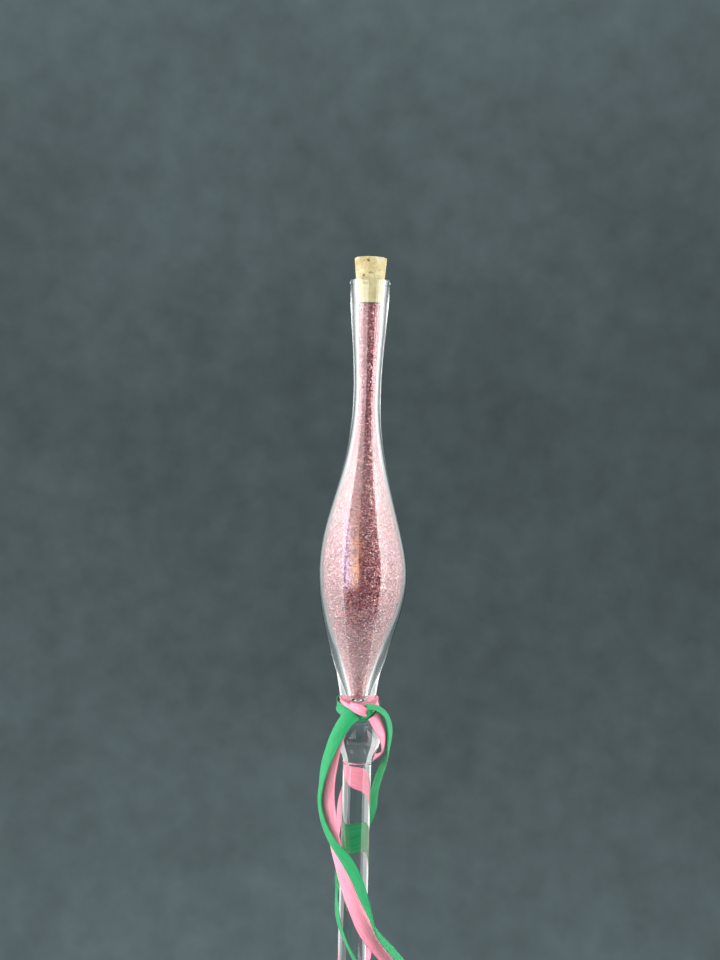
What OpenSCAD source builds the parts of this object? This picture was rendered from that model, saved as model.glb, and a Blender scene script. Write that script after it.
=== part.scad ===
// Glitter wand: a blown glass vial full of glitter, closed by a cork, on a solid glass handle
// with a knob at its top. Two satin ribbons are tied together round the pinch between them.
// Millimetres, +Z up the wand. The origin is the middle of the straight grip.

/* [Handle] */
// Radius of the straight glass grip
grip_r = 5.5; // [4.8:0.1:6]
// Length of the straight grip
grip_len = 64; // [50:1:80]
// Length of the rod between the grip and the knob
shank_len = 88; // [80:1:110]
// How much thinner the rod is at the knob than at the grip
shank_taper = 0.08; // [0.02:0.02:0.2]
// Greatest radius of the solid knob
knob_r = 9.25; // [8:0.05:9.5]
// Height of the knob's widest point above its foot
knob_rise = 12; // [9:0.5:14]
// Height of the pinch above the knob's foot
pinch_rise = 21; // [19:0.5:22]
// Radius of the pinch between the knob and the bulb
pinch_r = 6.5; // [5.8:0.1:6.6]

/* [Vial] */
// Greatest radius of the bulb
bulb_r = 17; // [14:0.5:20]
// Height of the bulb's widest point above the pinch
bulb_rise = 53; // [45:1:65]
// Least radius of the neck
neck_r = 5.25; // [5:0.05:6]
// Height of the neck's narrowest point above the bulb's widest
neck_rise = 70; // [60:1:80]
// Radius of the mouth just below the lip
mouth_r = 7.5; // [7.3:0.1:8.5]
// Height of the lip's top above the neck's narrowest point
mouth_rise = 43; // [38:1:50]
// Radius of the round lip's section
lip_r = 1.2; // [1:0.05:1.4]
// Wall thickness at the bulb's widest point
bulb_wall = 1.2; // [1:0.1:2]
// Wall thickness at the neck's narrowest point
neck_wall = 1.75; // [1.2:0.05:2]
// Solid glass between the pinch and the bottom of the hollow
floor_rise = 4; // [2:0.2:5]

/* [Cork] */
// Radius of the cork's top
cork_top_r = 6.35; // [6.2:0.05:6.8]
// Radius of the cork's bottom
cork_bottom_r = 4.6; // [4.3:0.05:4.8]
// Length of the cork
cork_len = 17.5; // [15:0.5:20]
// How deep the cork sits below the lip's top
cork_depth = 9.2; // [6:0.1:10]
// Gap between the cork and the glass
cork_gap = 0.06; // [0.04:0.01:0.1]
// Gap between the glitter and what holds it
fill_gap = 0.1; // [0.05:0.05:0.3]

/* [Ribbons] */
// Width of the satin ribbon
ribbon_w = 6; // [5:0.5:6.5]
// Thickness of the satin ribbon
ribbon_t = 0.3; // [0.2:0.05:0.4]

/* [Hidden] */

$fn = 96;
curve_steps = 12;

// heights
foot_z = grip_len / 2 + shank_len;
knob_z = foot_z + knob_rise;
pinch_z = foot_z + pinch_rise;
bulb_z = pinch_z + bulb_rise;
neck_z = bulb_z + neck_rise;
lip_z = neck_z + mouth_rise;
cork_z = lip_z - cork_depth;

// the mouth: a round lip on a tube that starts to narrow a little lower
lip_centre_z = lip_z - lip_r;
below_lip_z = lip_z - 5;
cork_slope = (cork_top_r - cork_bottom_r) / cork_len;
function bore_r(z) = cork_bottom_r + cork_gap + cork_slope * (z - cork_z);
lip_centre_r = bore_r(lip_centre_z) + lip_r;

// the hollow narrows towards a virtual end below the pinch and is closed by a round floor
floor_z = pinch_z + floor_rise;
floor_curve = 3.4;
hollow_end_z = pinch_z - 3;
hollow_end_r = 1.8;

// the knob narrows towards a virtual end inside the rod, so it meets the rod at a crease
knob_end_z = foot_z - 2.5;
knob_end_r = 4.9;
crease_z = foot_z + 0.9;

// how late each blown flank turns: 1 turns evenly
knob_turn = 0.9;
bulb_turn = 1.05;
shoulder_turn = 1.22;
mouth_turn = 0.95;

// An S-curve from 0 to 1, level at both ends.
function ease(t, turn) = let (s = pow(t, turn)) s * s * (3 - 2 * s);
// Radius at height z on a blown flank from [r0, z0] to [r1, z1].
function flank_r(z, r0, z0, r1, z1, turn) = r0 + (r1 - r0) * ease((z - z0) / (z1 - z0), turn);
// Points of that flank after its start, up to height stop.
function flank(r0, z0, r1, z1, turn, stop) =
    [for (i = [1:curve_steps]) let (z = z0 + (stop - z0) * i / curve_steps)
        [flank_r(z, r0, z0, r1, z1, turn), z]];
// Points of an elliptic arc round [cr, cz] from angle a0 to angle a1.
function arc(cr, cz, rr, rz, a0, a1, steps) =
    [for (i = [0:steps]) let (a = a0 + (a1 - a0) * i / steps) [cr + rr * cos(a), cz + rz * sin(a)]];
function reversed(list) = [for (i = [len(list) - 1:-1:0]) list[i]];

// The wall of the hollow from its floor up to the cork, moved inwards by gap.
function hollow_wall(gap) = concat(
    arc(0, floor_z + floor_curve,
        flank_r(floor_z + floor_curve, bulb_r - bulb_wall, bulb_z, hollow_end_r, hollow_end_z, 1) - gap,
        floor_curve - gap, -90, 0, 6),
    reversed([for (p = flank(bulb_r - bulb_wall, bulb_z, hollow_end_r, hollow_end_z, 1,
        floor_z + floor_curve)) if (p[1] > floor_z + floor_curve + 1) [p[0] - gap, p[1]]]),
    [[bulb_r - bulb_wall - gap, bulb_z]],
    reversed([for (p = flank(neck_r - neck_wall, neck_z, bulb_r - bulb_wall, bulb_z, shoulder_turn,
        bulb_z + 1)) if (p[1] > bulb_z + 2) [p[0] - gap, p[1]]]),
    [[neck_r - neck_wall - gap, neck_z]]);

// The straight and eased stretch of the hollow from the neck to the cork's seat.
function throat_wall(gap) = [for (p = reversed(flank(bore_r(cork_z), cork_z, neck_r - neck_wall, neck_z,
    mouth_turn, neck_z + 1))) [p[0] - gap, p[1]]];

module glass_handle() {
    color("azure", 0.45) rotate_extrude()
        polygon(concat(
            arc(0, -grip_len / 2, grip_r, grip_r, -90, 0, 8),
            [[grip_r, grip_len / 2], [grip_r - shank_taper, foot_z]],
            reversed(flank(knob_r, knob_z, knob_end_r, knob_end_z, knob_turn, crease_z)),
            [[knob_r, knob_z]],
            flank(knob_r, knob_z, pinch_r, pinch_z, 1, pinch_z),
            [[0, pinch_z]]));
}

module glass_vial() {
    color("azure", 0.45) rotate_extrude()
        polygon(concat(
            [[0, pinch_z]],
            reversed(flank(bulb_r, bulb_z, pinch_r, pinch_z, bulb_turn, pinch_z)),
            [[bulb_r, bulb_z]],
            reversed(flank(neck_r, neck_z, bulb_r, bulb_z, shoulder_turn, bulb_z + 1)),
            [[neck_r, neck_z]],
            reversed(flank(mouth_r, below_lip_z, neck_r, neck_z, mouth_turn, neck_z + 1)),
            [[mouth_r, below_lip_z]],
            arc(lip_centre_r, lip_centre_z, lip_r, lip_r, -40, 180, 16),
            [[bore_r(cork_z), cork_z]],
            reversed(throat_wall(0)),
            reversed(hollow_wall(0))));
}

module glitter_fill() {
    top_z = cork_z - fill_gap * 2;
    color("crimson") rotate_extrude()
        polygon(concat(
            hollow_wall(fill_gap),
            throat_wall(fill_gap),
            [[bore_r(cork_z) - fill_gap, top_z], [0, top_z]]));
}

module cork_stopper() {
    edge = 0.4;
    color("burlywood") translate([0, 0, cork_z]) rotate_extrude()
        polygon([
            [0, 0],
            [cork_bottom_r - edge, 0],
            [cork_bottom_r + cork_slope * edge, edge],
            [cork_top_r - cork_slope * edge, cork_len - edge],
            [cork_top_r - edge, cork_len],
            [0, cork_len]]);
}

// A gathered turn of ribbon round the pinch, from height z0 to z1 above the knob's foot.
module band(z0, z1) {
    inner_r = pinch_r + 0.4;
    translate([0, 0, foot_z + z0])
        difference() {
            cylinder(r = inner_r + 2 * ribbon_t, h = z1 - z0);
            translate([0, 0, -1]) cylinder(r = inner_r, h = z1 - z0 + 2);
        }
}

// A soft lobe of the knot between two points.
module lobe(a, b, r) {
    translate([0, 0, foot_z]) hull() {
        translate(a) sphere(r = r, $fn = 24);
        translate(b) sphere(r = r, $fn = 24);
    }
}

module green_ribbon_wrap() {
    color("mediumseagreen") {
        band(19.2, 22);
        lobe([3.4, -8, 20.2], [0.8, -8.6, 20], 1.5);
    }
}

module pink_ribbon_wrap() {
    color("lightpink") {
        band(22.2, 25.4);
        lobe([-1.8, -8.4, 24], [1.2, -8.6, 23.7], 1.5);
    }
}

// Each tail's route, by hand: x, y, height above the knob's foot, and the ribbon's roll about its
// own line, where 0 lies flat to -Y and 90 stands edge-on to it.
green_left_route = [
    [-1.4, -9.6, 21.8, 14], [-4.8, -10.3, 18.8, 22], [-8.4, -9.8, 12.6, 30], [-11, -8.4, 6, 46],
    [-12.7, -6.6, 0, 60], [-13.8, -4.6, -7, 74], [-14, -3.2, -14, 80], [-12.5, -5.4, -21, 66],
    [-8.5, -9.4, -27.5, 54], [-2.8, -12.2, -34, 34], [1.2, -13.2, -41, 40], [3.9, -13.2, -48, 50],
    [6.4, -12.6, -54.5, 72], [9.3, -11.2, -61, 94], [15, -9.6, -68, 106], [21, -5.6, -76, 96],
    [22, 2.4, -86, 78], [16.8, 9.6, -97, 40], [3.2, 14, -112, -4], [-8.4, 10.8, -129, -34],
    [-11.8, 6.6, -150, -56]];
pink_left_route = [
    [-3.8, -7.4, 20.4, 50], [-6.4, -6.8, 15, 48], [-8.4, -6, 9, 42], [-9.8, -4.8, 2, 36],
    [-10.8, -3.8, -5, 34], [-10.8, -3.8, -12, 34], [-9.8, -4.6, -19, 36], [-8.3, -6.2, -26, 38],
    [-6.5, -7.6, -33, 38], [-4.4, -8.4, -40, 36], [-1.8, -8.8, -47, 30], [1.4, -8.8, -54, 12],
    [5.2, -8.8, -61, -14], [10.4, -7.6, -68, -42], [15.8, -4.2, -75.5, -66], [17, 3, -85, -100],
    [12.4, 8.6, -95, -140], [0, 11.2, -110, -195], [-10.6, 5, -126, -250], [-11.8, -5.6, -147, -295]];
green_right_route = [
    [2.8, -9.8, 24.7, -80], [7.2, -8.6, 24, -79], [10.6, -6, 20.8, -74], [12.4, -3.4, 15.2, -69],
    [12.3, -1.4, 9.4, -77], [11.1, 0.8, 2.8, -102], [9, 2.6, -3.8, -115], [7.5, 4, -10, -117],
    [6.4, 5.1, -16.4, -130], [3.6, 5.9, -22.4, -158], [-0.2, 5.9, -29, -182], [-4, 5.6, -36, -215],
    [-6.4, 3.4, -43, -245], [-6.6, -0.6, -50, -272], [-6, -4.4, -56.5, -286],
    [-3.8, -7.6, -62.5, -288], [-0.6, -9.8, -68.5, -290], [3.8, -10.8, -75.5, -300],
    [9.2, -11.2, -83, -340], [16, -6.8, -95, -420], [17, 1.8, -109, -468], [12.8, 8, -125, -504],
    [10, 9.8, -142, -520]];
pink_right_route = [
    [5.8, -8.2, 21.2, -36], [7.8, -7, 17.2, -42], [9.7, -5.2, 13.4, -54], [10.4, -2.8, 9.6, -66],
    [10.1, 0.2, 6.4, -76], [8.6, 3.6, 3.8, -82], [5.6, 7.4, 0.8, -100], [1.8, 9.8, -3.6, -160],
    [-2.4, 9.4, -9, -196], [-5.2, 6.8, -14.6, -220], [-6.6, 3.8, -20.8, -246], [-6.8, 1, -27, -264],
    [-6.4, -2.1, -33, -291], [-4.5, -4.9, -39, -321], [-1.5, -6.5, -45, -349], [1.9, -6.4, -51, -375],
    [4.9, -4.5, -57, -403], [6.8, -1.2, -63, -442], [7.2, 2.2, -69.5, -460], [6, 5.8, -76.5, -474],
    [1.4, 8.2, -85, -526], [-5.2, 7.4, -93, -569], [-9.8, 1, -102, -618], [-10, -6.4, -113, -661],
    [-8.2, -11, -126, -683], [-7.8, -12.2, -140, -687]];

function unit(v) = v / norm(v);
function place(row) = [row[0], row[1], row[2] + foot_z];
// The way the ribbon runs at row i, and the way its width points there.
function heading(route, i) =
    unit(place(route[min(i + 1, len(route) - 1)]) - place(route[max(i - 1, 0)]));
function width_way(way, roll) =
    let (flat = unit(cross(way, [0, 1, 0]))) cos(roll) * flat + sin(roll) * cross(way, flat);

// One ribbon tail: a flat section swept along its route.
module tail(route) {
    last = len(route) - 1;
    corners = [for (i = [0:last])
        let (way = heading(route, i), across = width_way(way, route[i][3]) * ribbon_w / 2,
             through = unit(cross(way, across)) * ribbon_t / 2, p = place(route[i]))
        each [p + across + through, p - across + through, p - across - through, p + across - through]];
    // both broad faces are split along the same diagonal, so a twisted stretch keeps its thickness
    sides = [for (i = [0:last - 1], k = [0:3])
        let (a = 4 * i + k, b = 4 * i + (k + 1) % 4)
        each (k == 2 ? [[a, a + 4, b], [b, a + 4, b + 4]] : [[a, b + 4, b], [a, a + 4, b + 4]])];
    ends = [[0, 1, 2, 3], [for (k = [3:-1:0]) 4 * last + k]];
    polyhedron(points = corners, faces = concat(ends, sides));
}

module green_tail_left() {
    color("mediumseagreen") tail(green_left_route);
}

module pink_tail_left() {
    color("lightpink") tail(pink_left_route);
}

module green_tail_right() {
    color("mediumseagreen") tail(green_right_route);
}

module pink_tail_right() {
    color("lightpink") tail(pink_right_route);
}

glass_handle();
glass_vial();
glitter_fill();
cork_stopper();
green_ribbon_wrap();
pink_ribbon_wrap();
green_tail_left();
pink_tail_left();
green_tail_right();
pink_tail_right();
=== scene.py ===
import math
import random

import bmesh
import bpy
from mathutils import Matrix, Quaternion, Vector, noise


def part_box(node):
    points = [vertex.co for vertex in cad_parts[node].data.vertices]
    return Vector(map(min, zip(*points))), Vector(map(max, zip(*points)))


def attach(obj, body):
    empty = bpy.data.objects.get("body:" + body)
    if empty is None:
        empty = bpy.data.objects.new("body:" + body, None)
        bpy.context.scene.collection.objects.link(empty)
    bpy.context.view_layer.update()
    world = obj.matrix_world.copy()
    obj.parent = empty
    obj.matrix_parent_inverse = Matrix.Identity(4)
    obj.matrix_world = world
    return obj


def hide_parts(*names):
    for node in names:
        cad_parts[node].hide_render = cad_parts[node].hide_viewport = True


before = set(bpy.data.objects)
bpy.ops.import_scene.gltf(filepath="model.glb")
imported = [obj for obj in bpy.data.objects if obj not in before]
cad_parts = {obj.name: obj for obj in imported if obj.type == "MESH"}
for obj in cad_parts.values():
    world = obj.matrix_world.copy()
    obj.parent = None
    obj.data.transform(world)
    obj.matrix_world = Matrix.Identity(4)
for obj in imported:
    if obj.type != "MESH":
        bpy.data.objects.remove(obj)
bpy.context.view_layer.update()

# A blown glass wand full of glitter: its glass, filling and cork, two ribbons tied round the pinch,
# and a dark room where it stands between two bright walls. Everything is in metres, in the CAD
# frame: +Z runs up the wand and -Y towards the viewer.

MM = 0.001

# ---- sizes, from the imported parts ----
handle_low, handle_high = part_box("glass_handle")
vial_low, vial_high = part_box("glass_vial")
fill_low, fill_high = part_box("glitter_fill")
cork_low, cork_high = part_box("cork_stopper")

GRIP_R = 5.5 * MM
FOOT_R = 5.42 * MM
KNOB_R = handle_high.x
PINCH_R = 6.5 * MM
BULB_R = vial_high.x
NECK_R = 5.25 * MM
MOUTH_R = 7.5 * MM
LIP_R = 1.2 * MM
BULB_WALL = 1.2 * MM
NECK_WALL = 1.75 * MM
CORK_TOP_R = cork_high.x
CORK_BOTTOM_R = 4.6 * MM
CORK_GAP = 0.06 * MM
FILL_GAP = 0.1 * MM
RIBBON_W = 6 * MM
RIBBON_T = 0.26 * MM

GRIP_TOP_Z = 32 * MM
PINCH_Z = vial_low.z
FOOT_Z = PINCH_Z - 21 * MM
KNOB_Z = FOOT_Z + 12 * MM
KNOB_END_R = 4.9 * MM
KNOB_END_Z = FOOT_Z - 2.5 * MM
CREASE_Z = FOOT_Z + 0.9 * MM
BULB_Z = PINCH_Z + 53 * MM
NECK_Z = BULB_Z + 70 * MM
LIP_Z = vial_high.z
BELOW_LIP_Z = LIP_Z - 5 * MM
LIP_CENTRE_Z = LIP_Z - LIP_R
FLOOR_Z = fill_low.z - FILL_GAP
FLOOR_CURVE = 3.4 * MM
HOLLOW_END_Z = PINCH_Z - 3 * MM
HOLLOW_END_R = 1.8 * MM
CORK_SLOPE = (CORK_TOP_R - CORK_BOTTOM_R) / (cork_high.z - cork_low.z)

# the ring where the knob meets the rod
SEAM_Z, SEAM_R, SEAM_SPREAD = FOOT_Z + 1.6 * MM, 0.3 * MM, 0.4 * MM

# the exponent of each flank's S-bend: 1 is even, and more moves the bend away from its start
KNOB_TURN, BULB_TURN, SHOULDER_TURN, MOUTH_TURN = 0.9, 1.05, 1.22, 0.95

# how far the hand-blown glass wanders to the side: mm above the knob's foot, mm
DRIFT = [(12, 0), (24, -0.3), (34, -0.5), (46, -0.35),
         (70, 0.2), (95, -0.45), (125, -0.1), (150, 0)]
# the bulb is a little out of round, most at its middle and not at all beyond this reach
BLOWN_REACH = 60 * MM
OVAL, THREE_LOBED = 0.004, 0.002
GLASS_SEGMENTS = 160
ON_AXIS = 1e-7

# glitter
FLAKE = 0.34 * MM
FLAKE_LEAN = 0.62
LOOSE_FLAKES, FLAKE_SEED = 7000, 7

# ribbons: the edge, weft, warp and selvedge in ribbon widths or per ribbon width
LANES = 12
RIPPLE = 0.28 * MM
SOFT_EDGE = 0.14
SLANT_RUN = 5 * MM
STEPS_PER_ROW = 10
FIRST_TURN_SEED = 20
WEFT_STEP = 0.045
WARP_THREADS = 34
SELVEDGE = 0.045

# cork
CORK_EDGE = 0.35 * MM
CORK_SEGMENTS, CORK_RINGS, CORK_CAP_RINGS, CORK_BASE_RINGS = 150, 84, 26, 18
CORK_GRAIN = 0.07 * MM
FULL_PIT = 0.22 * MM
SMALL_PORES, PORE_SEED = 60, 11

# the table top under the handle
TABLE_R, TABLE_EDGE, TABLE_THICK, TABLE_GAP = 0.19, 4 * MM, 20 * MM, 0.5 * MM


# ---- camera: level, at the photo's distance, tilted so that the wand leans a little ----
CAMERA_AT = (-1.87 * MM, -529 * MM, FOOT_Z + 110 * MM)
CAMERA_LEAN = math.atan(0.02738)
LENS_MM, SENSOR_MM = 51.56, 36


def make_camera():
    camera = bpy.data.objects.new("camera", bpy.data.cameras.new("camera"))
    camera.data.lens = LENS_MM
    camera.data.sensor_width = SENSOR_MM
    camera.data.clip_start = 0.01
    right = Vector((math.cos(CAMERA_LEAN), 0, math.sin(CAMERA_LEAN)))
    up = Vector((-math.sin(CAMERA_LEAN), 0, math.cos(CAMERA_LEAN)))
    turn = Matrix((right, up, (0, -1, 0))).transposed().to_4x4()
    camera.matrix_world = Matrix.Translation(CAMERA_AT) @ turn
    bpy.context.scene.collection.objects.link(camera)
    bpy.context.scene.camera = camera


make_camera()


# ---- small tools ----
def ease(t, turn):
    """An S-bend from 0 to 1, level at both ends."""
    s = t ** turn
    return s * s * (3 - 2 * s)


def steps_to(start, stop, steps):
    """Evenly spaced values after start, the last one at stop."""
    return [start + (stop - start) * i / steps for i in range(1, steps + 1)]


def flank(r0, z0, r1, z1, turn, stop):
    """Points of the S-shaped flank from r0 at z0 to r1 at z1, after its start and up to stop."""
    heights = steps_to(z0, stop, 40)
    return [(r0 + (r1 - r0) * ease((z - z0) / (z1 - z0), turn), z) for z in heights]


def arc(cr, cz, rr, rz, a0, a1, steps):
    """Points on an ellipse round (cr, cz), from a0 to a1 degrees."""
    angles = [math.radians(a0 + (a1 - a0) * i / steps) for i in range(steps + 1)]
    return [(cr + rr * math.cos(a), cz + rz * math.sin(a)) for a in angles]


def between(knots, x):
    """A smooth value at x through the knots (x, value), level at each knot."""
    if x <= knots[0][0]:
        return knots[0][1]
    for (x0, v0), (x1, v1) in zip(knots, knots[1:]):
        if x <= x1:
            return v0 + (v1 - v0) * ease((x - x0) / (x1 - x0), 1)
    return knots[-1][1]


def drift(z):
    """How far the hand-blown glass wanders to the side at height z."""
    return between(DRIFT, (z - FOOT_Z) / MM) * MM


def wander(r, z, angle):
    """A point of the glass, a little out of round where the bulb was blown."""
    blown = max(0, 1 - abs(z - BULB_Z) / BLOWN_REACH)
    r *= 1 + OVAL * blown * math.sin(2 * angle + 60 * z) \
        + THREE_LOBED * blown * math.sin(3 * angle - 90 * z)
    return Vector((drift(z) + r * math.cos(angle), r * math.sin(angle), z))


def plain(r, z, angle):
    """A point of a piece that is truly round."""
    return Vector((r * math.cos(angle), r * math.sin(angle), z))


def mesh_object(name, verts, faces, smooth=True):
    mesh = bpy.data.meshes.new(name)
    mesh.from_pydata([tuple(v) for v in verts], [], faces)
    mesh.validate()
    bm = bmesh.new()
    bm.from_mesh(mesh)
    bmesh.ops.recalc_face_normals(bm, faces=bm.faces)
    bm.to_mesh(mesh)
    bm.free()
    mesh.polygons.foreach_set("use_smooth", [smooth] * len(mesh.polygons))
    piece = bpy.data.objects.new(name, mesh)
    bpy.context.scene.collection.objects.link(piece)
    return piece


def lathe(name, profile, segments, place=plain):
    """A turned piece from the outline's (r, z) points; a point on the axis closes it there."""
    verts, rings, faces = [], [], []
    for r, z in profile:
        count = 1 if r < ON_AXIS else segments
        rings.append([len(verts) + i for i in range(count)])
        verts += [place(r, z, 2 * math.pi * i / segments) for i in range(count)]
    for low, high in zip(rings, rings[1:]):
        for i in range(segments):
            corners = [low[i % len(low)], low[(i + 1) % len(low)],
                       high[(i + 1) % len(high)], high[i % len(high)]]
            faces.append(list(dict.fromkeys(corners)))
    return mesh_object(name, verts, faces)


def finish_piece(piece, body, slot, material, *nodes):
    piece.data.materials.append(material)
    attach(piece, body)
    if nodes:
        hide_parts(*nodes)


# ---- node materials ----
BLACK, WHITE = (0, 0, 0), (1, 1, 1)


class Nodes:
    """The nodes of a material, light or world, made and joined in short lines."""

    def __init__(self, owner):
        owner.use_nodes = True
        self.tree = owner.node_tree

    def node(self, kind, **settings):
        made = self.tree.nodes.new(kind)
        for key, value in settings.items():
            setattr(made, key, value)
        return made

    def put(self, node, **inputs):
        """Sets inputs by name, with _ for a space, or by number, as i0: a socket is linked, and
        anything else is a value."""
        for key, value in inputs.items():
            numbered = key[0] == "i" and key[1:].isdigit()
            socket = node.inputs[int(key[1:]) if numbered else key.replace("_", " ")]
            if isinstance(value, bpy.types.NodeSocket):
                self.tree.links.new(value, socket)
            else:
                socket.default_value = value
        return node

    def math(self, operation, a, b=0.0, clamp=False):
        made = self.node("ShaderNodeMath", operation=operation, use_clamp=clamp)
        return self.put(made, i0=a, i1=b).outputs[0]

    def vector(self, operation, a, b=(0, 0, 0), scale=1.0):
        made = self.put(self.node("ShaderNodeVectorMath", operation=operation), i0=a, i1=b)
        if operation == "SCALE":
            made.inputs["Scale"].default_value = scale
        return made.outputs["Vector"]

    def noise(self, vector, scale, detail, roughness=0.55):
        made = self.put(self.node("ShaderNodeTexNoise"), Vector=vector, Scale=scale)
        return self.put(made, Detail=detail, Roughness=roughness).outputs["Fac"]

    def cells(self, vector, size):
        """The random colour of each cell, and its red, green and blue as three numbers."""
        made = self.node("ShaderNodeTexVoronoi")
        colour = self.put(made, Vector=vector, Scale=1 / size).outputs["Color"]
        return colour, self.put(self.node("ShaderNodeSeparateColor"), Color=colour).outputs

    def axes(self, vector):
        return self.put(self.node("ShaderNodeSeparateXYZ"), Vector=vector).outputs

    def span(self, value, low, high, start=0, end=1):
        """How far a value has come from low to high, as start to end."""
        made = self.node("ShaderNodeMapRange")
        return self.put(made, Value=value, i1=low, i2=high, i3=start, i4=end).outputs[0]

    def ramp(self, factor, stops, interpolation="LINEAR"):
        made = self.put(self.node("ShaderNodeValToRGB"), Fac=factor)
        ramp = made.color_ramp
        ramp.interpolation = interpolation
        while len(ramp.elements) < len(stops):
            ramp.elements.new(1)
        for element, (place, colour) in zip(ramp.elements, stops):
            element.position = place
            element.color = (*colour, 1)
        return made.outputs["Color"]

    def mix(self, factor, a, b, blend="MIX"):
        made = self.node("ShaderNodeMix", data_type="RGBA", blend_type=blend)
        return self.put(made, i0=factor, i6=a, i7=b).outputs[2]

    def bump(self, height, strength, distance):
        made = self.put(self.node("ShaderNodeBump"), Height=height, Strength=strength)
        return self.put(made, Distance=distance).outputs["Normal"]

    def place(self, name="Object"):
        return self.node("ShaderNodeTexCoord").outputs[name]


class Shader(Nodes):
    """A material with one Principled surface."""

    def __init__(self, name):
        self.material = bpy.data.materials.new(name)
        super().__init__(self.material)
        self.tree.nodes.clear()
        self.surface = self.node("ShaderNodeBsdfPrincipled")
        output = self.node("ShaderNodeOutputMaterial")
        self.tree.links.new(self.surface.outputs[0], output.inputs["Surface"])


def clear_glass():
    """Clear drawn glass: faint lengthwise striae, and smears that dull it a very little."""
    s = Shader("clear_glass")
    place = s.place()
    drawn = s.put(s.node("ShaderNodeMapping"), Vector=place, Scale=(1, 1, 0.08))
    striae = s.noise(drawn.outputs[0], 260, 2)
    smears = s.noise(place, 90, 4)
    dull = s.math("MULTIPLY", s.math("SUBTRACT", smears, 0.55, True), 0.12)
    s.put(s.surface, Base_Color=(0.965, 0.99, 0.978, 1), IOR=1.5, Transmission_Weight=1.0,
          Roughness=dull, Normal=s.bump(striae, 0.02, 0.2 * MM))
    return s.material


def glitter():
    """Metallised flakes: each cell is one flake with its own tilt, tint and gloss. The tint is paler
    towards both ends of the bulb, and flat flakes at the left of the front get a painted violet and
    orange sheen, a painted reflection."""
    s = Shader("glitter")
    place = s.place()
    flake, (tone, shine, pick) = s.cells(place, FLAKE)
    x, y, z = s.axes(place)

    def rise(low, high, start=0, end=1):
        """How far the height in mm above the pinch has come from low to high, as start to end."""
        return s.span(z, PINCH_Z + low * MM, PINCH_Z + high * MM, start, end)

    tint = s.ramp(tone, [
        (0.0, (0.06, 0.024, 0.028)), (0.22, (0.15, 0.05, 0.056)), (0.48, (0.3, 0.095, 0.11)),
        (0.72, (0.46, 0.19, 0.21)), (0.89, (0.62, 0.38, 0.37)), (0.94, (0.5, 0.2, 0.09)),
        (0.965, (0.28, 0.16, 0.34)), (0.985, (0.8, 0.7, 0.68))], "CONSTANT")
    # the tint is paler in a band high in the bulb, and towards the bulb's bottom
    paler_band = s.math("MULTIPLY", rise(58, 84, 0, 0.11), rise(112, 90))
    tint = s.mix(paler_band, tint, (0.75, 0.52, 0.52, 1))
    tint = s.mix(rise(36, 12, 0, 0.36), tint, (0.7, 0.47, 0.48, 1))

    # painted reflection: a violet and orange sheen is painted onto flat flakes at the left of the bulb's
    # front
    across = s.span(x, -9 * MM, 1 * MM)
    painted_sheen = s.ramp(across, [(0.2, (0.36, 0.24, 0.5)), (0.4, (0.6, 0.4, 0.55)),
                            (0.58, (0.8, 0.32, 0.14)), (0.85, (0.56, 0.17, 0.07))])
    side = s.ramp(across, [(0.1, BLACK), (0.2, WHITE), (0.78, WHITE), (0.92, BLACK)])
    painted_sheen_height = s.math("MULTIPLY", rise(47, 50), rise(92, 62))
    front = s.math("MULTIPLY", s.span(y, -6 * MM, -12 * MM), painted_sheen_height)
    patchy = s.math("MULTIPLY", s.math("SUBTRACT", s.noise(place, 420, 2), 0.32), 4.0, True)
    flat = s.math("MULTIPLY", s.math("GREATER_THAN", pick, 0.4),
                  s.math("MULTIPLY", patchy, 0.85))
    tint = s.mix(s.math("MULTIPLY", s.math("MULTIPLY", side, front), flat), tint, painted_sheen)

    lean = s.vector("SUBTRACT", flake, (0.5, 0.5, 0.5))
    tilted = s.vector("ADD", s.node("ShaderNodeNewGeometry").outputs["Normal"],
                      s.vector("SCALE", lean, scale=FLAKE_LEAN))
    gloss = s.math("ADD", s.math("MULTIPLY", shine, 0.2), 0.36)
    s.put(s.surface, Base_Color=tint, Metallic=0.85, Roughness=gloss,
          Normal=s.vector("NORMALIZE", tilted))
    return s.material


def natural_cork():
    """Cork bark: soft light and warm patches, brown grain, and dark pores where it is pitted."""
    s = Shader("natural_cork")
    place = s.place()
    base = s.ramp(s.noise(place, 260, 4), [
        (0.3, (0.33, 0.26, 0.13)), (0.45, (0.41, 0.35, 0.19)),
        (0.6, (0.46, 0.41, 0.25)), (0.75, (0.52, 0.48, 0.33))])
    grain_tone = s.ramp(s.cells(place, 0.7 * MM)[1][0], [
        (0, (0.8, 0.74, 0.66)), (0.5, (1, 0.99, 0.96)), (1, (1.08, 1.02, 0.9))])
    grained = s.mix(0.7, base, grain_tone, "MULTIPLY")
    flecks = s.ramp(s.noise(place, 1500, 2), [(0.3, WHITE), (0.38, BLACK)])
    flecked = s.mix(s.math("MULTIPLY", flecks, 0.55), grained, (0.26, 0.13, 0.05, 1))
    pit = s.node("ShaderNodeAttribute", attribute_name="pit").outputs["Fac"]
    pitted = s.mix(s.math("MULTIPLY", pit, 0.8), flecked, (0.17, 0.09, 0.035, 1))
    rough = s.noise(place, 2400, 3)
    s.put(s.surface, Base_Color=pitted, Roughness=0.82, Specular_IOR_Level=0.3,
          Normal=s.bump(rough, 0.35, 0.1 * MM))
    return s.material


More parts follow.
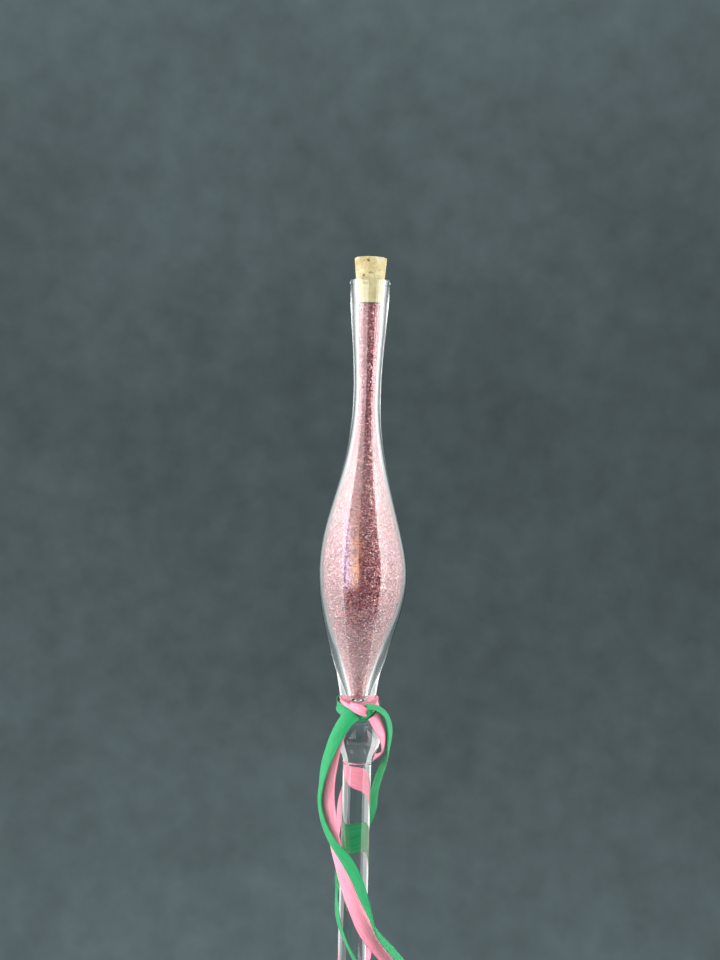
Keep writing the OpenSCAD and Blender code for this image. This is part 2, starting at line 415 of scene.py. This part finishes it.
def satin(name, deep, light):
    """Satin ribbon: long floats of shiny warp over a fine weft, with a plain woven selvedge. Both
    texture axes count in ribbon widths."""
    s = Shader(name)
    along, across = s.axes(s.place("UV"))[:2]
    weft = s.math("SINE", s.math("MULTIPLY", along, 2 * math.pi / WEFT_STEP))
    warp = s.math("SINE", s.math("MULTIPLY", across, 2 * math.pi * WARP_THREADS))
    off_centre = s.math("ABSOLUTE", s.math("SUBTRACT", across, 0.5))
    edge = s.math("GREATER_THAN", off_centre, 0.5 - SELVEDGE)
    streaked = s.put(s.node("ShaderNodeCombineXYZ"), X=s.math("MULTIPLY", along, 0.5),
                     Y=s.math("MULTIPLY", across, 9))
    streaks = s.noise(streaked.outputs[0], 1.6, 3)
    base = s.mix(s.ramp(streaks, [(0.3, BLACK), (0.7, WHITE)]), (*deep, 1), (*light, 1))
    woven = s.mix(s.math("MULTIPLY", edge, 0.35), base, (*[c * 0.6 for c in deep], 1))
    threads = s.math("ADD", s.math("MULTIPLY", weft, 0.5), s.math("MULTIPLY", warp, 0.35))
    gloss = s.math("ADD", s.math("MULTIPLY", streaks, 0.14), 0.44)
    s.put(s.surface, Base_Color=woven, Roughness=gloss, Normal=s.bump(threads, 0.25, 0.05 * MM),
          Sheen_Weight=0.1, Sheen_Roughness=0.5, Specular_IOR_Level=0.24)
    return s.material


# ---- ribbons ----
def spline(rows, steps):
    """Rows between the given ones, on a smooth curve through them."""
    rows = [Vector(row) for row in rows]
    ends = [rows[0] * 2 - rows[1]] + rows + [rows[-1] * 2 - rows[-2]]
    made = []
    for a, b, c, d in zip(ends, ends[1:], ends[2:], ends[3:]):
        for i in range(steps):
            t = i / steps
            made.append(0.5 * ((2 * b) + (c - a) * t + (2 * a - 5 * b + 4 * c - d) * t * t
                               + (3 * b - a - 3 * c + d) * t * t * t))
    return made + [rows[-1]]


def headings(points):
    """The way that a line runs at each of its points."""
    ends = list(zip([points[0]] + points[:-1], points[1:] + [points[-1]]))
    return [(after - before).normalized() for before, after in ends]


def strip(name, rings, curl, seed, slant=0.0):
    """A ribbon swept along rings of (centre, way, across, width): curled across its width by curl
    radians each way, with a soft edge and faint ripples. slant cuts its last end at an angle."""
    verts, uvs, faces = [], [], []
    run, total = 0.0, sum((b[0] - a[0]).length for a, b in zip(rings, rings[1:]))
    previous = rings[0][0]
    for centre, way, across, width in rings:
        run += (centre - previous).length
        previous = centre
        through = way.cross(across).normalized()
        near_end = max(0.0, 1 - (total - run) / SLANT_RUN) if slant else 0.0
        for side in (1, -1):
            for lane in range(LANES + 1):
                v = (1 - 2 * lane / LANES) * side
                ripple = noise.noise(Vector((run * 90, v * 0.8, seed))) * RIPPLE
                bend = width / (2 * curl)
                turn = Quaternion(way, v * curl)
                edge = max(0.0, (abs(v) - (1 - SOFT_EDGE)) / SOFT_EDGE)
                bead = 1.25 if edge > 0 else 1
                half = RIBBON_T / 2 * bead * math.sqrt(1 - min(edge, 0.98) ** 2)
                middle = bend * (1 + math.cos(curl)) / 2
                point = centre - through * middle + turn @ through * (bend + ripple + side * half)
                verts.append(point + way * (slant * v * width / 2 * near_end))
                uvs.append((run / RIBBON_W, (v + 1) / 2))
    loop = 2 * (LANES + 1)
    for ring in range(len(rings) - 1):
        a, b = ring * loop, (ring + 1) * loop
        faces += [[a + i, a + (i + 1) % loop, b + (i + 1) % loop, b + i] for i in range(loop)]
    last = (len(rings) - 1) * loop
    for i in range(LANES):
        faces.append([i, i + 1, loop - 2 - i, loop - 1 - i])
        faces.append([last + i, last + i + 1, last + loop - 2 - i, last + loop - 1 - i])
    piece = mesh_object(name, verts, faces)
    layer = piece.data.uv_layers.new(name="ribbon")
    for corner in piece.data.loops:
        layer.data[corner.index].uv = uvs[corner.vertex_index]
    return piece


def tail_rings(route):
    """Rings of a tail from its rows of x, y, height above the knob's foot, and roll in degrees
    about the ribbon's own line, where 0 lies flat to -Y and 90 stands edge-on to it."""
    rows = spline(route, STEPS_PER_ROW)
    points = [Vector((x, y, FOOT_Z + height)) for x, y, height, roll in rows]
    rings = []
    for point, way, row in zip(points, headings(points), rows):
        flat = way.cross(Vector((0, 1, 0))).normalized()
        roll = math.radians(row[3])
        across = math.cos(roll) * flat + math.sin(roll) * way.cross(flat)
        rings.append((point, way, across, RIBBON_W))
    return rings


def turn_rings(route):
    """Rings of a turn round the pinch from its rows of x, y, height above the knob's foot, and
    width: the ribbon lies with its face away from the wand's axis."""
    rows = spline(route, STEPS_PER_ROW)
    points = [Vector((x, y, FOOT_Z + height)) for x, y, height, width in rows]
    rings = []
    for point, way, row in zip(points, headings(points), rows):
        outward = Vector((point.x, point.y, 0)).normalized()
        rings.append((point, way, way.cross(outward).normalized(), row[3]))
    return rings


# The tails' routes, which are part.scad's: x, y, height above the knob's foot, roll in degrees.
GREEN_LEFT = [
    (-0.0014, -0.0096, 0.0218, 14), (-0.0048, -0.0103, 0.0188, 22), (-0.0084, -0.0098, 0.0126, 30),
    (-0.011, -0.0084, 0.006, 46), (-0.0127, -0.0066, 0, 60), (-0.0138, -0.0046, -0.007, 74),
    (-0.014, -0.0032, -0.014, 80), (-0.0125, -0.0054, -0.021, 66), (-0.0085, -0.0094, -0.0275, 54),
    (-0.0028, -0.0122, -0.034, 34), (0.0012, -0.0132, -0.041, 40), (0.0039, -0.0132, -0.048, 50),
    (0.0064, -0.0126, -0.0545, 72), (0.0093, -0.0112, -0.061, 94), (0.015, -0.0096, -0.068, 106),
    (0.021, -0.0056, -0.076, 96), (0.022, 0.0024, -0.086, 78), (0.0168, 0.0096, -0.097, 40),
    (0.0032, 0.014, -0.112, -4), (-0.0084, 0.0108, -0.129, -34), (-0.0118, 0.0066, -0.15, -56)]
PINK_LEFT = [
    (-0.0038, -0.0074, 0.0204, 50), (-0.0064, -0.0068, 0.015, 48), (-0.0084, -0.006, 0.009, 42),
    (-0.0098, -0.0048, 0.002, 36), (-0.0108, -0.0038, -0.005, 34), (-0.0108, -0.0038, -0.012, 34),
    (-0.0098, -0.0046, -0.019, 36), (-0.0083, -0.0062, -0.026, 38), (-0.0065, -0.0076, -0.033, 38),
    (-0.0044, -0.0084, -0.04, 36), (-0.0018, -0.0088, -0.047, 30), (0.0014, -0.0088, -0.054, 12),
    (0.0052, -0.0088, -0.061, -14), (0.0104, -0.0076, -0.068, -42), (0.0158, -0.0042, -0.0755, -66),
    (0.017, 0.003, -0.085, -100), (0.0124, 0.0086, -0.095, -140), (0, 0.0112, -0.11, -195),
    (-0.0106, 0.005, -0.126, -250), (-0.0118, -0.0056, -0.147, -295)]
GREEN_RIGHT = [
    (0.0028, -0.0098, 0.0247, -80), (0.0072, -0.0086, 0.024, -79), (0.0106, -0.006, 0.0208, -74),
    (0.0124, -0.0034, 0.0152, -69), (0.0123, -0.0014, 0.0094, -77), (0.0111, 0.0008, 0.0028, -102),
    (0.009, 0.0026, -0.0038, -115), (0.0075, 0.004, -0.01, -117), (0.0064, 0.0051, -0.0164, -130),
    (0.0036, 0.0059, -0.0224, -158), (-0.0002, 0.0059, -0.029, -182), (-0.004, 0.0056, -0.036, -215),
    (-0.0064, 0.0034, -0.043, -245), (-0.0066, -0.0006, -0.05, -272), (-0.006, -0.0044, -0.0565, -286),
    (-0.0038, -0.0076, -0.0625, -288), (-0.0006, -0.0098, -0.0685, -290),
    (0.0038, -0.0108, -0.0755, -300), (0.0092, -0.0112, -0.083, -340), (0.016, -0.0068, -0.095, -420),
    (0.017, 0.0018, -0.109, -468), (0.0128, 0.008, -0.125, -504), (0.01, 0.0098, -0.142, -520)]
PINK_RIGHT = [
    (0.0058, -0.0082, 0.0212, -36), (0.0078, -0.007, 0.0172, -42), (0.0097, -0.0052, 0.0134, -54),
    (0.0104, -0.0028, 0.0096, -66), (0.0101, 0.0002, 0.0064, -76), (0.0086, 0.0036, 0.0038, -82),
    (0.0056, 0.0074, 0.0008, -100), (0.0018, 0.0098, -0.0036, -160), (-0.0024, 0.0094, -0.009, -196),
    (-0.0052, 0.0068, -0.0146, -220), (-0.0066, 0.0038, -0.0208, -246), (-0.0068, 0.001, -0.027, -264),
    (-0.0064, -0.0021, -0.033, -291), (-0.0045, -0.0049, -0.039, -321),
    (-0.0015, -0.0065, -0.045, -349), (0.0019, -0.0064, -0.051, -375), (0.0049, -0.0045, -0.057, -403),
    (0.0068, -0.0012, -0.063, -442), (0.0072, 0.0022, -0.0695, -460), (0.006, 0.0058, -0.0765, -474),
    (0.0014, 0.0082, -0.085, -526), (-0.0052, 0.0074, -0.093, -569), (-0.0098, 0.001, -0.102, -618),
    (-0.01, -0.0064, -0.113, -661), (-0.0082, -0.011, -0.126, -683), (-0.0078, -0.0122, -0.14, -687)]

green_satin = satin("green_satin", (0.007, 0.22, 0.07), (0.02, 0.32, 0.118))
pink_satin = satin("pink_satin", (0.84, 0.22, 0.32), (0.92, 0.36, 0.46))

# colour, side, route, material, length, curl and the slant of the cut end
TAILS = [
    ("green", "left", GREEN_LEFT, green_satin, 0.206, 0.55, 0.5),
    ("pink", "left", PINK_LEFT, pink_satin, 0.193, 0.6, -0.5),
    ("green", "right", GREEN_RIGHT, green_satin, 0.194, 0.45, 0.5),
    ("pink", "right", PINK_RIGHT, pink_satin, 0.193, 0.45, -0.5)]
for number, (colour, side, route, material, length, curl, slant) in enumerate(TAILS):
    rings = tail_rings(route)
    tail = strip(f"{colour}_satin_{side}", rings, curl, number, slant)
    finish_piece(tail, "wand", f"{colour}_satin", material, f"{colour}_tail_{side}")

# The turns round the pinch and the knot: name, colour, rows of x, y, height above the knob's
# foot and width, curl, and the CAD nodes that it stands for.
TURNS = [
    ("green_turn", "green", [
        (0.0005, -0.0078, 0.0196, 0.0022), (-0.0028, -0.0076, 0.0209, 0.0034),
        (-0.006, -0.0058, 0.0223, 0.0042), (-0.0082, -0.0018, 0.0234, 0.0042),
        (-0.0077, 0.0034, 0.0246, 0.004), (-0.0034, 0.0076, 0.025, 0.0036),
        (0.0024, 0.008, 0.0248, 0.0036), (0.0066, 0.005, 0.0242, 0.0034),
        (0.008, -0.0004, 0.023, 0.003), (0.0066, -0.0048, 0.0216, 0.0024),
        (0.0042, -0.0076, 0.0204, 0.0022), (0.001, -0.0085, 0.0196, 0.002),
        (-0.0022, -0.0082, 0.0198, 0.002)], 0.5, ["green_ribbon_wrap"]),
    ("pink_turn", "pink", [
        (-0.0014, -0.0088, 0.0234, 0.002), (-0.0044, -0.0073, 0.0244, 0.0015),
        (-0.0066, -0.0034, 0.0254, 0.0016), (-0.007, 0.002, 0.0256, 0.0026),
        (-0.0036, 0.0065, 0.0254, 0.0044), (0.0022, 0.007, 0.0252, 0.0044),
        (0.0062, 0.0038, 0.0252, 0.0038), (0.0075, -0.0012, 0.025, 0.0028),
        (0.0062, -0.0056, 0.0236, 0.0022), (0.003, -0.0084, 0.0226, 0.0022)], 0.5, ["pink_ribbon_wrap"]),
    ("pink_knot", "pink", [
        (-0.0034, -0.0086, 0.0248, 0.0024), (-0.0018, -0.01, 0.0243, 0.0038),
        (0.0003, -0.0108, 0.0235, 0.0044), (0.0024, -0.0104, 0.0226, 0.004),
        (0.0036, -0.0088, 0.022, 0.0028)], 1.1, []),
    ("green_curl", "green", [
        (-0.001, -0.0086, 0.0208, 0.002), (0.0016, -0.0092, 0.0208, 0.0022),
        (0.0034, -0.0095, 0.0213, 0.0022), (0.0046, -0.0096, 0.0229, 0.0019),
        (0.0048, -0.0096, 0.0246, 0.002)], 0.6, [])]
for number, (name, colour, route, curl, nodes) in enumerate(TURNS):
    turn = strip(name, turn_rings(route), curl, FIRST_TURN_SEED + number)
    material = green_satin if colour == "green" else pink_satin
    finish_piece(turn, "wand", f"{colour}_satin", material, *nodes)


# ---- glass ----
def bore_r(z):
    """The tapered mouth's radius, a little wider than the cork."""
    return CORK_BOTTOM_R + CORK_GAP + CORK_SLOPE * (z - cork_low.z)


def hollow_wall(gap):
    """The hollow's wall from its floor up to the cork's seat, moved inwards by gap."""
    start = FLOOR_Z + FLOOR_CURVE
    bulb_r, neck_r = BULB_R - BULB_WALL, NECK_R - NECK_WALL
    lower = flank(bulb_r, BULB_Z, HOLLOW_END_R, HOLLOW_END_Z, 1, start)
    upper = flank(neck_r, NECK_Z, bulb_r, BULB_Z, SHOULDER_TURN, BULB_Z + MM)
    throat = flank(bore_r(cork_low.z), cork_low.z, neck_r, NECK_Z, MOUTH_TURN, NECK_Z + MM)
    floor = arc(0, start, lower[-1][0] - gap, FLOOR_CURVE - gap, -90, 0, 10)
    walls = lower[-2::-1] + [(bulb_r, BULB_Z)] + upper[::-1] + [(neck_r, NECK_Z)] + throat[::-1]
    return [(0, floor[0][1])] + floor[1:] + [(r - gap, z) for r, z in walls]


def glass_outline():
    """The glass from the handle's tip up its outside, over the lip and down its hollow."""
    outside = [(0, handle_low.z)] + arc(0, -GRIP_TOP_Z, GRIP_R, GRIP_R, -90, 0, 12)[1:]
    outside += [(GRIP_R + (FOOT_R - GRIP_R) * i / 30, GRIP_TOP_Z + (FOOT_Z - GRIP_TOP_Z) * i / 30)
                for i in range(31)]
    knob_foot = flank(KNOB_R, KNOB_Z, KNOB_END_R, KNOB_END_Z, KNOB_TURN, CREASE_Z)[::-1]
    taken_up = 4
    low, bend = (FOOT_R, FOOT_Z + 0.1 * MM), (FOOT_R, CREASE_Z + 0.3 * MM)
    high = knob_foot[taken_up]
    fillet = [tuple((1 - f) ** 2 * a + 2 * f * (1 - f) * b + f * f * c
                    for a, b, c in zip(low, bend, high))
              for f in (i / 30 for i in range(31))]
    seam = [(r + SEAM_R * math.exp(-((z - SEAM_Z) / SEAM_SPREAD) ** 2), z) for r, z in fillet]
    outside = [p for p in outside if p[1] < low[1]] + seam + knob_foot[taken_up + 1:]
    outside += [(KNOB_R, KNOB_Z)] + flank(KNOB_R, KNOB_Z, PINCH_R, PINCH_Z, 1, PINCH_Z)
    for r1, z1, r0, z0, turn in ((PINCH_R, PINCH_Z, BULB_R, BULB_Z, BULB_TURN),
                                 (BULB_R, BULB_Z, NECK_R, NECK_Z, SHOULDER_TURN),
                                 (NECK_R, NECK_Z, MOUTH_R, BELOW_LIP_Z, MOUTH_TURN)):
        outside += flank(r0, z0, r1, z1, turn, z1 + MM)[::-1] + [(r0, z0)]
    lip = arc(bore_r(LIP_CENTRE_Z) + LIP_R, LIP_CENTRE_Z, LIP_R, LIP_R, -40, 180, 24)
    seat = [(bore_r(z), z) for z in steps_to(LIP_CENTRE_Z, cork_low.z, 8)]
    return outside + lip + seat + hollow_wall(0)[::-1]


glass = lathe("blown_glass", glass_outline(), GLASS_SEGMENTS, wander)
finish_piece(glass, "wand", "clear_glass", clear_glass(), "glass_vial", "glass_handle")
glass.visible_shadow = False


# ---- glitter ----
glitter_material = glitter()
fill_outline = hollow_wall(FILL_GAP)
fill_outline += [(bore_r(fill_high.z) - FILL_GAP, fill_high.z), (0, fill_high.z)]
filling = lathe("glitter_body", fill_outline, GLASS_SEGMENTS, wander)
finish_piece(filling, "wand", "glitter", glitter_material, "glitter_fill")


def flake_mesh():
    """Loose six-sided flakes lying on the filling, each a little tilted."""
    draw = random.Random(FLAKE_SEED)
    wall = [p for p in hollow_wall(FILL_GAP * 1.2) if p[0] > MM]
    spans = [(a, b, (a[0] + b[0]) * math.dist(a, b)) for a, b in zip(wall, wall[1:])]
    picks = draw.choices(spans, [area for _, _, area in spans], k=LOOSE_FLAKES)
    verts, faces = [], []
    for (r0, z0), (r1, z1), _ in picks:
        t, angle = draw.random(), draw.uniform(0, 2 * math.pi)
        r, z = r0 + (r1 - r0) * t, z0 + (z1 - z0) * t
        outward = Vector((math.cos(angle) * (z1 - z0), math.sin(angle) * (z1 - z0), r0 - r1))
        centre = wander(r, z, angle)
        tilt = Vector([draw.uniform(-0.28, 0.28) for _ in range(3)])
        facing = (outward.normalized() + tilt).normalized()
        side = facing.orthogonal().normalized()
        size, spin = draw.uniform(0.12, 0.2) * MM, draw.uniform(0, math.pi)
        first = len(verts)
        for corner in range(6):
            turn = Quaternion(facing, spin + corner * math.pi / 3)
            verts.append(centre + turn @ side * size)
        faces.append([first + corner for corner in range(6)])
    return verts, faces


flakes = mesh_object("glitter_flakes", *flake_mesh(), smooth=False)
finish_piece(flakes, "wand", "glitter", glitter_material)


# ---- cork ----
def cork_r(z):
    return CORK_BOTTOM_R + CORK_SLOPE * (z - cork_low.z)


def cork_outline():
    """The cork from the middle of its bottom to the middle of its top, with rounded rims."""
    low, high, edge = cork_low.z, cork_high.z, CORK_EDGE
    cap = [CORK_TOP_R * i / CORK_CAP_RINGS for i in range(CORK_CAP_RINGS)]
    base = [CORK_BOTTOM_R * i / CORK_BASE_RINGS for i in range(CORK_BASE_RINGS)]
    side = [(cork_r(z), z) for z in [low + edge] + steps_to(low + edge, high - edge, CORK_RINGS)]
    bottom = [(r, low) for r in base if r < CORK_BOTTOM_R - edge]
    top = [(r, high) for r in reversed(cap) if r < CORK_TOP_R - edge]
    rim_low = [(CORK_BOTTOM_R - edge * 0.7, low + 0.02 * MM),
               (CORK_BOTTOM_R - edge * 0.2, low + edge * 0.4)]
    rim_high = [(CORK_TOP_R - edge * 0.2, high - edge * 0.4),
                (CORK_TOP_R - edge * 0.7, high - 0.02 * MM)]
    return bottom + rim_low + side + rim_high + top


# The pores that show at the front: angle in degrees, and mm below the top, size, depth.
PORES = [(-99, 1.5, 0.6, 0.6), (-95, 1.7, 0.5, 0.4), (-118, 7.2, 0.7, 0.4), (-112, 7, 0.4, 0.2),
         (-94, 6.3, 0.45, 0.25), (-89, 6.2, 0.45, 0.25), (-84, 6.4, 0.45, 0.22), (-79, 6.5, 0.4, 0.2)]


def pit_cork(piece):
    """Sinks pores and a rough grain into the cork, and keeps each point's depth for its colour."""
    draw = random.Random(PORE_SEED)
    top = cork_high.z
    pores = []

    def add_pore(r, z, angle, size, depth):
        pores.append((plain(r, z, angle), size, depth))

    for angle, below, size, depth in PORES:
        z = top - below * MM
        add_pore(cork_r(z), z, math.radians(angle), size * MM, depth * MM)
    for number in range(SMALL_PORES):
        angle, z = draw.uniform(0, 2 * math.pi), draw.uniform(cork_low.z, top)
        r = cork_r(z)
        if number % 5 == 0:
            r, z = r * math.sqrt(draw.random()), top
        size = draw.uniform(0.15, 0.38) * MM
        add_pore(r, z, angle, size, size * draw.uniform(0.4, 0.9))
    depths = []
    normals = [v.normal.copy() for v in piece.data.vertices]
    for vertex, normal in zip(piece.data.vertices, normals):
        sunk = max(d * max(0, 1 - (vertex.co - at).length / s) ** 0.7 for at, s, d in pores)
        grain = (0.5 + 0.5 * noise.noise(vertex.co * 900)) * CORK_GRAIN
        vertex.co -= normal * (sunk + grain)
        depths.append(min(1, sunk / FULL_PIT))
    pit = piece.data.attributes.new("pit", "FLOAT", "POINT")
    pit.data.foreach_set("value", depths)


cork = lathe("cork_body", cork_outline(), CORK_SEGMENTS)
pit_cork(cork)
finish_piece(cork, "cork", "cork", natural_cork(), "cork_stopper")


# ---- stage ----
def round_floor():
    """A pale round table top just under the handle's end, out of the main view."""
    top = handle_low.z - TABLE_GAP
    rim = arc(TABLE_R, top - TABLE_EDGE, TABLE_EDGE, TABLE_EDGE, 90, 0, 8)
    bottom = [(TABLE_R + TABLE_EDGE, top - TABLE_THICK), (0, top - TABLE_THICK)]
    outline = [(0, top), (TABLE_R, top)] + rim + bottom
    floor = lathe("pale_floor", outline, 128)
    s = Shader("pale_floor")
    tone = s.ramp(s.noise(s.place(), 30, 4), [
        (0.3, (0.33, 0.33, 0.325)), (0.7, (0.37, 0.37, 0.365))])
    s.put(s.surface, Base_Color=tone, Roughness=0.6)
    floor.data.materials.append(s.material)


def softbox(name, at, facing, width, height, low, high, far):
    """A soft rectangular light that the camera doesn't see itself. Its radiance runs from low at
    the bottom edge to high at the top, times a factor that goes from 1 at its front end to far at
    its back end."""
    light = bpy.data.lights.new(name, "AREA")
    light.shape = "RECTANGLE"
    light.size, light.size_y = width, height
    light.energy = math.pi * width * height
    s = Nodes(light)
    _, y, z = s.axes(s.node("ShaderNodeNewGeometry").outputs["Position"])
    rise = s.span(z, at[2] - height / 2, at[2] + height / 2, low, high)
    fall = s.span(y, at[1] - width / 2, at[1] + width / 2, 1, far)
    s.put(s.tree.nodes["Emission"], Strength=s.math("MULTIPLY", rise, fall))
    lamp = bpy.data.objects.new(name, light)
    lamp.location = at
    lamp.rotation_euler = Vector(facing).to_track_quat("-Z", "Y").to_euler()
    lamp.visible_camera = False
    bpy.context.scene.collection.objects.link(lamp)
    return lamp


def dark_room():
    """A slate-grey cloth all round: mottled, and a little lighter above, below and to the left."""
    world = bpy.data.worlds.new("dark_room")
    s = Nodes(world)
    place = s.place("Generated")
    x, _, z = s.axes(place)
    height = s.math("MINIMUM", s.math("MULTIPLY", z, z), 0.12)
    level = s.math("MULTIPLY", s.math("ADD", s.math("MULTIPLY", height, 4.5), 1),
                   s.math("ADD", s.math("MULTIPLY", x, -0.35), 1))
    for scale, detail, amount in ((9, 4, 0.55), (55, 6, 0.5)):
        mottle = s.math("SUBTRACT", s.noise(place, scale, detail, 0.5), 0.5)
        level = s.math("MULTIPLY", level, s.math("ADD", s.math("MULTIPLY", mottle, amount), 1))
    s.put(s.tree.nodes["Background"], Color=(0.068, 0.09, 0.095, 1), Strength=level)
    bpy.context.scene.world = world


# Two translucent walls beside the wand, lit from outside and brighter towards the top and the
# front, with dimmer ones behind them, a lamp at the front left, the pale table in front, and a
# fill that only matt surfaces see: name, place, facing, width, height, then the strength at the
# bottom and at the top, and its factor at the far end.
SOFTBOXES = [
    ("wall_left", (-0.6, 0.0, 0.2), (1, 0, 0), 1.0, 1.5, 1.4, 10.0, 0.14),
    ("wall_right", (0.6, 0.0, 0.2), (-1, 0, 0), 1.0, 1.5, 1.6, 9.6, 0.14),
    ("far_left", (-0.6, 0.87, 0.4), (1, 0, 0), 0.74, 1.4, 0.22, 0.9, 1.0),
    ("far_right", (0.6, 0.87, 0.4), (-1, 0, 0), 0.74, 1.4, 0.22, 0.9, 1.0),
    ("front_lamp", (-0.47, -0.883, 0.43), (0.47, 0.883, 0), 0.65, 0.94, 3.4, 1.0, 1.0),
    ("table_front", (0, -0.38, -0.3), (0, 0, 1), 1.0, 0.48, 1.3, 1.3, 1.0),
    ("front_fill", (0.2, -1.3, 0.7), (-0.2, 1.3, -0.5), 1.2, 1.0, 1.8, 1.8, 1.0)]

round_floor()
dark_room()
lamps = {row[0]: softbox(*row) for row in SOFTBOXES}
lamps["front_fill"].visible_glossy = False
lamps["front_fill"].visible_transmission = False
bpy.context.scene.view_settings.view_transform = "Standard"
